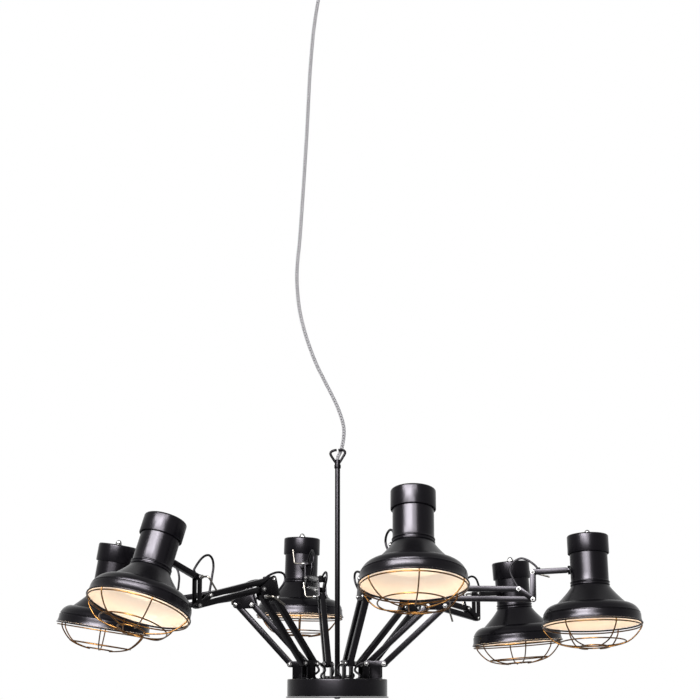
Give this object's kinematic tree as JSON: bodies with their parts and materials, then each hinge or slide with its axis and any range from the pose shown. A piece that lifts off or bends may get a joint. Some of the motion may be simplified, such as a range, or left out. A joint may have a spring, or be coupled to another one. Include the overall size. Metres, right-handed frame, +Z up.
{
  "type": "spider pendant light",
  "caption": "Spider pendant light: a round hub on a stem and braided cord carries double-bar spring-lamp arms that swivel and lift, each with a caged bell shade that tilts and turns.",
  "frame": {"origin": "middle of the ceiling rose's top face, where it meets the ceiling", "axes": "+Z up; -Y is the front, the side that the picture is taken from; the arms spread all round the Z axis"},
  "size_m": [0.9576, 0.9337, 1.3355],
  "materials": {
    "rose_black": "satin",
    "cord_braid": "matte",
    "loop_nickel": "satin",
    "stem_black": "satin",
    "hub_black": "satin",
    "hub_base_black": "satin",
    "arm_bar_black": "satin",
    "bracket_black": "satin",
    "lamp_head_black": "satin"
  },
  "bodies": {
    "canopy_and_hub": {"ceiling_rose": "rose_black", "suspension_cord": "cord_braid", "hanging_loop": "loop_nickel", "stem_rod": "stem_black", "hub_shell": "hub_black", "hub_base_plate": "hub_base_black"},
    "arm1_swivel_bracket": {"arm1_swivel_bracket": "bracket_black"},
    "arm1_lower_main_bar": {"arm1_lower_main_bar": "arm_bar_black"},
    "arm1_lower_link_bar": {"arm1_lower_link_bar": "arm_bar_black"},
    "arm1_elbow": {"arm1_elbow": "bracket_black"},
    "arm1_upper_main_bar": {"arm1_upper_main_bar": "arm_bar_black"},
    "arm1_upper_link_bar": {"arm1_upper_link_bar": "arm_bar_black"},
    "arm1_head_bracket": {"arm1_head_bracket": "bracket_black"},
    "arm1_lamp_arm": {"arm1_lamp_arm": "bracket_black"},
    "arm1_lamp_head": {"arm1_lamp_head": "lamp_head_black"},
    "arm2_swivel_bracket": {"arm2_swivel_bracket": "bracket_black"},
    "arm2_lower_main_bar": {"arm2_lower_main_bar": "arm_bar_black"},
    "arm2_lower_link_bar": {"arm2_lower_link_bar": "arm_bar_black"},
    "arm2_elbow": {"arm2_elbow": "bracket_black"},
    "arm2_upper_main_bar": {"arm2_upper_main_bar": "arm_bar_black"},
    "arm2_upper_link_bar": {"arm2_upper_link_bar": "arm_bar_black"},
    "arm2_head_bracket": {"arm2_head_bracket": "bracket_black"},
    "arm2_lamp_arm": {"arm2_lamp_arm": "bracket_black"},
    "arm2_lamp_head": {"arm2_lamp_head": "lamp_head_black"},
    "arm3_swivel_bracket": {"arm3_swivel_bracket": "bracket_black"},
    "arm3_lower_main_bar": {"arm3_lower_main_bar": "arm_bar_black"},
    "arm3_lower_link_bar": {"arm3_lower_link_bar": "arm_bar_black"},
    "arm3_elbow": {"arm3_elbow": "bracket_black"},
    "arm3_upper_main_bar": {"arm3_upper_main_bar": "arm_bar_black"},
    "arm3_upper_link_bar": {"arm3_upper_link_bar": "arm_bar_black"},
    "arm3_head_bracket": {"arm3_head_bracket": "bracket_black"},
    "arm3_lamp_arm": {"arm3_lamp_arm": "bracket_black"},
    "arm3_lamp_head": {"arm3_lamp_head": "lamp_head_black"},
    "arm4_swivel_bracket": {"arm4_swivel_bracket": "bracket_black"},
    "arm4_lower_main_bar": {"arm4_lower_main_bar": "arm_bar_black"},
    "arm4_lower_link_bar": {"arm4_lower_link_bar": "arm_bar_black"},
    "arm4_elbow": {"arm4_elbow": "bracket_black"},
    "arm4_upper_main_bar": {"arm4_upper_main_bar": "arm_bar_black"},
    "arm4_upper_link_bar": {"arm4_upper_link_bar": "arm_bar_black"},
    "arm4_head_bracket": {"arm4_head_bracket": "bracket_black"},
    "arm4_lamp_arm": {"arm4_lamp_arm": "bracket_black"},
    "arm4_lamp_head": {"arm4_lamp_head": "lamp_head_black"},
    "arm5_swivel_bracket": {"arm5_swivel_bracket": "bracket_black"},
    "arm5_lower_main_bar": {"arm5_lower_main_bar": "arm_bar_black"},
    "arm5_lower_link_bar": {"arm5_lower_link_bar": "arm_bar_black"},
    "arm5_elbow": {"arm5_elbow": "bracket_black"},
    "arm5_upper_main_bar": {"arm5_upper_main_bar": "arm_bar_black"},
    "arm5_upper_link_bar": {"arm5_upper_link_bar": "arm_bar_black"},
    "arm5_head_bracket": {"arm5_head_bracket": "bracket_black"},
    "arm5_lamp_arm": {"arm5_lamp_arm": "bracket_black"},
    "arm5_lamp_head": {"arm5_lamp_head": "lamp_head_black"},
    "arm6_swivel_bracket": {"arm6_swivel_bracket": "bracket_black"},
    "arm6_lower_main_bar": {"arm6_lower_main_bar": "arm_bar_black"},
    "arm6_lower_link_bar": {"arm6_lower_link_bar": "arm_bar_black"},
    "arm6_elbow": {"arm6_elbow": "bracket_black"},
    "arm6_upper_main_bar": {"arm6_upper_main_bar": "arm_bar_black"},
    "arm6_upper_link_bar": {"arm6_upper_link_bar": "arm_bar_black"},
    "arm6_head_bracket": {"arm6_head_bracket": "bracket_black"},
    "arm6_lamp_arm": {"arm6_lamp_arm": "bracket_black"},
    "arm6_lamp_head": {"arm6_lamp_head": "lamp_head_black"}
  },
  "joints": [
    {"name": "arm1_swivel", "type": "hinge", "parent": "canopy_and_hub", "child": "arm1_swivel_bracket", "pos_m": [-0.0623, 0.01669, -1.3035], "axis": [0, 0, 1], "range_deg": [-25, 25]},
    {"name": "arm1_lower_lift", "type": "hinge", "parent": "arm1_swivel_bracket", "child": "arm1_lower_main_bar", "pos_m": [-0.07559, 0.02111, -1.2795], "axis": [0.3156, 0.9489, 0], "range_deg": [-21.6, 32.4]},
    {"name": "arm1_lower_link_turn", "type": "hinge", "parent": "arm1_swivel_bracket", "child": "arm1_lower_link_bar", "pos_m": [-0.04902, 0.01227, -1.2795], "axis": [0.3156, 0.9489, 0], "range_deg": [-21.6, 32.4]},
    {"name": "arm1_elbow_level", "type": "hinge", "parent": "arm1_lower_main_bar", "child": "arm1_elbow", "pos_m": [-0.16621, 0.05126, -1.18197], "axis": [0.3156, 0.9489, 0], "range_deg": [-32.4, 21.6]},
    {"name": "arm1_upper_lift", "type": "hinge", "parent": "arm1_elbow", "child": "arm1_upper_main_bar", "pos_m": [-0.16886, 0.05214, -1.17017], "axis": [0.3156, 0.9489, 0], "range_deg": [-7.7, 67.3]},
    {"name": "arm1_upper_link_turn", "type": "hinge", "parent": "arm1_elbow", "child": "arm1_upper_link_bar", "pos_m": [-0.14752, 0.04504, -1.15377], "axis": [0.3156, 0.9489, 0], "range_deg": [-7.7, 67.3]},
    {"name": "arm1_head_level", "type": "hinge", "parent": "arm1_upper_main_bar", "child": "arm1_head_bracket", "pos_m": [-0.29922, 0.09551, -1.18777], "axis": [0.3156, 0.9489, 0], "range_deg": [-67.3, 7.7]},
    {"name": "arm1_lamp_tilt", "type": "hinge", "parent": "arm1_head_bracket", "child": "arm1_lamp_arm", "pos_m": [-0.29922, 0.09551, -1.14477], "axis": [0.3156, 0.9489, 0], "range_deg": [-48.9, 71.1]},
    {"name": "arm1_lamp_roll", "type": "hinge", "parent": "arm1_lamp_arm", "child": "arm1_lamp_head", "pos_m": [-0.38359, 0.12357, -1.13085], "axis": [-0.9375, 0.3118, 0.1547], "range_deg": [-45, 45]},
    {"name": "arm2_swivel", "type": "hinge", "parent": "canopy_and_hub", "child": "arm2_swivel_bracket", "pos_m": [-0.04561, -0.04561, -1.3035], "axis": [0, 0, 1], "range_deg": [-25, 25]},
    {"name": "arm2_lower_lift", "type": "hinge", "parent": "arm2_swivel_bracket", "child": "arm2_lower_main_bar", "pos_m": [-0.05516, -0.05585, -1.2795], "axis": [-0.7314, 0.682, 0], "range_deg": [-24.3, 29.7]},
    {"name": "arm2_lower_link_turn", "type": "hinge", "parent": "arm2_swivel_bracket", "child": "arm2_lower_link_bar", "pos_m": [-0.03606, -0.03537, -1.2795], "axis": [-0.7314, 0.682, 0], "range_deg": [-24.3, 29.7]},
    {"name": "arm2_elbow_level", "type": "hinge", "parent": "arm2_lower_main_bar", "child": "arm2_elbow", "pos_m": [-0.11708, -0.12226, -1.17758], "axis": [-0.7314, 0.682, 0], "range_deg": [-29.7, 24.3]},
    {"name": "arm2_upper_lift", "type": "hinge", "parent": "arm2_elbow", "child": "arm2_upper_main_bar", "pos_m": [-0.11899, -0.1243, -1.16578], "axis": [-0.7314, 0.682, 0], "range_deg": [-2.3, 72.7]},
    {"name": "arm2_upper_link_turn", "type": "hinge", "parent": "arm2_elbow", "child": "arm2_upper_link_bar", "pos_m": [-0.10365, -0.10785, -1.14938], "axis": [-0.7314, 0.682, 0], "range_deg": [-2.3, 72.7]},
    {"name": "arm2_head_level", "type": "hinge", "parent": "arm2_upper_main_bar", "child": "arm2_head_bracket", "pos_m": [-0.21114, -0.22312, -1.19623], "axis": [-0.7314, 0.682, 0], "range_deg": [-72.7, 2.3]},
    {"name": "arm2_lamp_tilt", "type": "hinge", "parent": "arm2_head_bracket", "child": "arm2_lamp_arm", "pos_m": [-0.21114, -0.22312, -1.15323], "axis": [-0.7314, 0.682, 0], "range_deg": [-61, 59]},
    {"name": "arm2_lamp_roll", "type": "hinge", "parent": "arm2_lamp_arm", "child": "arm2_lamp_head", "pos_m": [-0.26844, -0.28457, -1.12098], "axis": [-0.6367, -0.6828, 0.3584], "range_deg": [-45, 45]},
    {"name": "arm3_swivel", "type": "hinge", "parent": "canopy_and_hub", "child": "arm3_swivel_bracket", "pos_m": [-0.01669, 0.0623, -1.3035], "axis": [0, 0, 1], "range_deg": [-25, 25]},
    {"name": "arm3_lower_lift", "type": "hinge", "parent": "arm3_swivel_bracket", "child": "arm3_lower_main_bar", "pos_m": [-0.019, 0.07611, -1.2795], "axis": [0.9863, 0.165, 0], "range_deg": [-34.2, 19.8]},
    {"name": "arm3_lower_link_turn", "type": "hinge", "parent": "arm3_swivel_bracket", "child": "arm3_lower_link_bar", "pos_m": [-0.01438, 0.04849, -1.2795], "axis": [0.9863, 0.165, 0], "range_deg": [-34.2, 19.8]},
    {"name": "arm3_elbow_level", "type": "hinge", "parent": "arm3_lower_main_bar", "child": "arm3_elbow", "pos_m": [-0.03088, 0.14705, -1.16349], "axis": [0.9863, 0.165, 0], "range_deg": [-19.8, 34.2]},
    {"name": "arm3_upper_lift", "type": "hinge", "parent": "arm3_elbow", "child": "arm3_upper_main_bar", "pos_m": [-0.03134, 0.14982, -1.15169], "axis": [0.9863, 0.165, 0], "range_deg": [-19.8, 55.2]},
    {"name": "arm3_upper_link_turn", "type": "hinge", "parent": "arm3_elbow", "child": "arm3_upper_link_bar", "pos_m": [-0.02763, 0.12762, -1.13529], "axis": [0.9863, 0.165, 0], "range_deg": [-19.8, 55.2]},
    {"name": "arm3_head_level", "type": "hinge", "parent": "arm3_upper_main_bar", "child": "arm3_head_bracket", "pos_m": [-0.05412, 0.28594, -1.1401], "axis": [0.9863, 0.165, 0], "range_deg": [-55.2, 19.8]},
    {"name": "arm3_lamp_tilt", "type": "hinge", "parent": "arm3_head_bracket", "child": "arm3_lamp_arm", "pos_m": [-0.05412, 0.28594, -1.0971], "axis": [0.9863, 0.165, 0], "range_deg": [-39.2, 80.8]},
    {"name": "arm3_lamp_roll", "type": "hinge", "parent": "arm3_lamp_arm", "child": "arm3_lamp_head", "pos_m": [-0.06897, 0.37469, -1.09836], "axis": [-0.165, 0.9862, -0.014], "range_deg": [-45, 45]},
    {"name": "arm4_swivel", "type": "hinge", "parent": "canopy_and_hub", "child": "arm4_swivel_bracket", "pos_m": [0.01669, -0.0623, -1.3035], "axis": [0, 0, 1], "range_deg": [-25, 25]},
    {"name": "arm4_lower_lift", "type": "hinge", "parent": "arm4_swivel_bracket", "child": "arm4_lower_main_bar", "pos_m": [0.02067, -0.07573, -1.2795], "axis": [-0.9588, -0.284, 0], "range_deg": [-23.5, 30.5]},
    {"name": "arm4_lower_link_turn", "type": "hinge", "parent": "arm4_swivel_bracket", "child": "arm4_lower_link_bar", "pos_m": [0.01272, -0.04888, -1.2795], "axis": [-0.9588, -0.284, 0], "range_deg": [-23.5, 30.5]},
    {"name": "arm4_elbow_level", "type": "hinge", "parent": "arm4_lower_main_bar", "child": "arm4_elbow", "pos_m": [0.04686, -0.16415, -1.17886], "axis": [-0.9588, -0.284, 0], "range_deg": [-30.5, 23.5]},
    {"name": "arm4_upper_lift", "type": "hinge", "parent": "arm4_elbow", "child": "arm4_upper_main_bar", "pos_m": [0.04766, -0.16683, -1.16706], "axis": [-0.9588, -0.284, 0], "range_deg": [-20.6, 54.4]},
    {"name": "arm4_upper_link_turn", "type": "hinge", "parent": "arm4_elbow", "child": "arm4_upper_link_bar", "pos_m": [0.04127, -0.14526, -1.15066], "axis": [-0.9588, -0.284, 0], "range_deg": [-20.6, 54.4]},
    {"name": "arm4_head_level", "type": "hinge", "parent": "arm4_upper_main_bar", "child": "arm4_head_bracket", "pos_m": [0.0868, -0.29899, -1.15355], "axis": [-0.9588, -0.284, 0], "range_deg": [-54.4, 20.6]},
    {"name": "arm4_lamp_tilt", "type": "hinge", "parent": "arm4_head_bracket", "child": "arm4_lamp_arm", "pos_m": [0.0868, -0.29899, -1.11055], "axis": [-0.9588, -0.284, 0], "range_deg": [-53.4, 66.6]},
    {"name": "arm4_lamp_roll", "type": "hinge", "parent": "arm4_lamp_arm", "child": "arm4_lamp_head", "pos_m": [0.11167, -0.38294, -1.08969], "axis": [0.2763, -0.9327, 0.2317], "range_deg": [-45, 45]},
    {"name": "arm5_swivel", "type": "hinge", "parent": "canopy_and_hub", "child": "arm5_swivel_bracket", "pos_m": [0.04561, 0.04561, -1.3035], "axis": [0, 0, 1], "range_deg": [-25, 25]},
    {"name": "arm5_lower_lift", "type": "hinge", "parent": "arm5_swivel_bracket", "child": "arm5_lower_main_bar", "pos_m": [0.05647, 0.05444, -1.2795], "axis": [0.6307, -0.776, 0], "range_deg": [-20.3, 33.7]},
    {"name": "arm5_lower_link_turn", "type": "hinge", "parent": "arm5_swivel_bracket", "child": "arm5_lower_link_bar", "pos_m": [0.03474, 0.03678, -1.2795], "axis": [0.6307, -0.776, 0], "range_deg": [-20.3, 33.7]},
    {"name": "arm5_elbow_level", "type": "hinge", "parent": "arm5_lower_main_bar", "child": "arm5_elbow", "pos_m": [0.13229, 0.11605, -1.18417], "axis": [0.6307, -0.776, 0], "range_deg": [-33.7, 20.3]},
    {"name": "arm5_upper_lift", "type": "hinge", "parent": "arm5_elbow", "child": "arm5_upper_main_bar", "pos_m": [0.13446, 0.11782, -1.17237], "axis": [0.6307, -0.776, 0], "range_deg": [-4.5, 70.5]},
    {"name": "arm5_upper_link_turn", "type": "hinge", "parent": "arm5_elbow", "child": "arm5_upper_link_bar", "pos_m": [0.117, 0.10363, -1.15597], "axis": [0.6307, -0.776, 0], "range_deg": [-4.5, 70.5]},
    {"name": "arm5_head_level", "type": "hinge", "parent": "arm5_upper_main_bar", "child": "arm5_head_bracket", "pos_m": [0.24014, 0.2037, -1.19761], "axis": [0.6307, -0.776, 0], "range_deg": [-70.5, 4.5]},
    {"name": "arm5_lamp_tilt", "type": "hinge", "parent": "arm5_head_bracket", "child": "arm5_lamp_arm", "pos_m": [0.24014, 0.2037, -1.15461], "axis": [0.6307, -0.776, 0], "range_deg": [-42.9, 77.1]},
    {"name": "arm5_lamp_roll", "type": "hinge", "parent": "arm5_lamp_arm", "child": "arm5_lamp_head", "pos_m": [0.3099, 0.26039, -1.15005], "axis": [0.7751, 0.6299, 0.0506], "range_deg": [-45, 45]},
    {"name": "arm6_swivel", "type": "hinge", "parent": "canopy_and_hub", "child": "arm6_swivel_bracket", "pos_m": [0.0623, -0.01669, -1.3035], "axis": [0, 0, 1], "range_deg": [-25, 25]},
    {"name": "arm6_lower_lift", "type": "hinge", "parent": "arm6_swivel_bracket", "child": "arm6_lower_main_bar", "pos_m": [0.076, -0.01958, -1.2795], "axis": [-0.2062, -0.9785, 0], "range_deg": [-18.2, 35.8]},
    {"name": "arm6_lower_link_turn", "type": "hinge", "parent": "arm6_swivel_bracket", "child": "arm6_lower_link_bar", "pos_m": [0.0486, -0.01381, -1.2795], "axis": [-0.2062, -0.9785, 0], "range_deg": [-18.2, 35.8]},
    {"name": "arm6_elbow_level", "type": "hinge", "parent": "arm6_lower_main_bar", "child": "arm6_elbow", "pos_m": [0.17495, -0.04043, -1.18781], "axis": [-0.2062, -0.9785, 0], "range_deg": [-35.8, 18.2]},
    {"name": "arm6_upper_lift", "type": "hinge", "parent": "arm6_elbow", "child": "arm6_upper_main_bar", "pos_m": [0.17769, -0.04101, -1.17601], "axis": [-0.2062, -0.9785, 0], "range_deg": [-14, 61]},
    {"name": "arm6_upper_link_turn", "type": "hinge", "parent": "arm6_elbow", "child": "arm6_upper_link_bar", "pos_m": [0.15567, -0.03637, -1.15961], "axis": [-0.2062, -0.9785, 0], "range_deg": [-14, 61]},
    {"name": "arm6_head_level", "type": "hinge", "parent": "arm6_upper_main_bar", "child": "arm6_head_bracket", "pos_m": [0.31319, -0.06956, -1.17843], "axis": [-0.2062, -0.9785, 0], "range_deg": [-61, 14]},
    {"name": "arm6_lamp_tilt", "type": "hinge", "parent": "arm6_head_bracket", "child": "arm6_lamp_arm", "pos_m": [0.31319, -0.06956, -1.13543], "axis": [-0.2062, -0.9785, 0], "range_deg": [-42.3, 77.7]},
    {"name": "arm6_lamp_roll", "type": "hinge", "parent": "arm6_lamp_arm", "child": "arm6_lamp_head", "pos_m": [0.40119, -0.08811, -1.13182], "axis": [0.9777, -0.206, 0.0401], "range_deg": [-45, 45]}
  ],
  "couplings": [
    {"joint": "arm1_lower_link_turn", "follows": "arm1_lower_lift", "ratio": 1},
    {"joint": "arm1_elbow_level", "follows": "arm1_lower_lift", "ratio": -1},
    {"joint": "arm1_upper_link_turn", "follows": "arm1_upper_lift", "ratio": 1},
    {"joint": "arm1_head_level", "follows": "arm1_upper_lift", "ratio": -1},
    {"joint": "arm2_lower_link_turn", "follows": "arm2_lower_lift", "ratio": 1},
    {"joint": "arm2_elbow_level", "follows": "arm2_lower_lift", "ratio": -1},
    {"joint": "arm2_upper_link_turn", "follows": "arm2_upper_lift", "ratio": 1},
    {"joint": "arm2_head_level", "follows": "arm2_upper_lift", "ratio": -1},
    {"joint": "arm3_lower_link_turn", "follows": "arm3_lower_lift", "ratio": 1},
    {"joint": "arm3_elbow_level", "follows": "arm3_lower_lift", "ratio": -1},
    {"joint": "arm3_upper_link_turn", "follows": "arm3_upper_lift", "ratio": 1},
    {"joint": "arm3_head_level", "follows": "arm3_upper_lift", "ratio": -1},
    {"joint": "arm4_lower_link_turn", "follows": "arm4_lower_lift", "ratio": 1},
    {"joint": "arm4_elbow_level", "follows": "arm4_lower_lift", "ratio": -1},
    {"joint": "arm4_upper_link_turn", "follows": "arm4_upper_lift", "ratio": 1},
    {"joint": "arm4_head_level", "follows": "arm4_upper_lift", "ratio": -1},
    {"joint": "arm5_lower_link_turn", "follows": "arm5_lower_lift", "ratio": 1},
    {"joint": "arm5_elbow_level", "follows": "arm5_lower_lift", "ratio": -1},
    {"joint": "arm5_upper_link_turn", "follows": "arm5_upper_lift", "ratio": 1},
    {"joint": "arm5_head_level", "follows": "arm5_upper_lift", "ratio": -1},
    {"joint": "arm6_lower_link_turn", "follows": "arm6_lower_lift", "ratio": 1},
    {"joint": "arm6_elbow_level", "follows": "arm6_lower_lift", "ratio": -1},
    {"joint": "arm6_upper_link_turn", "follows": "arm6_upper_lift", "ratio": 1},
    {"joint": "arm6_head_level", "follows": "arm6_upper_lift", "ratio": -1}
  ]
}
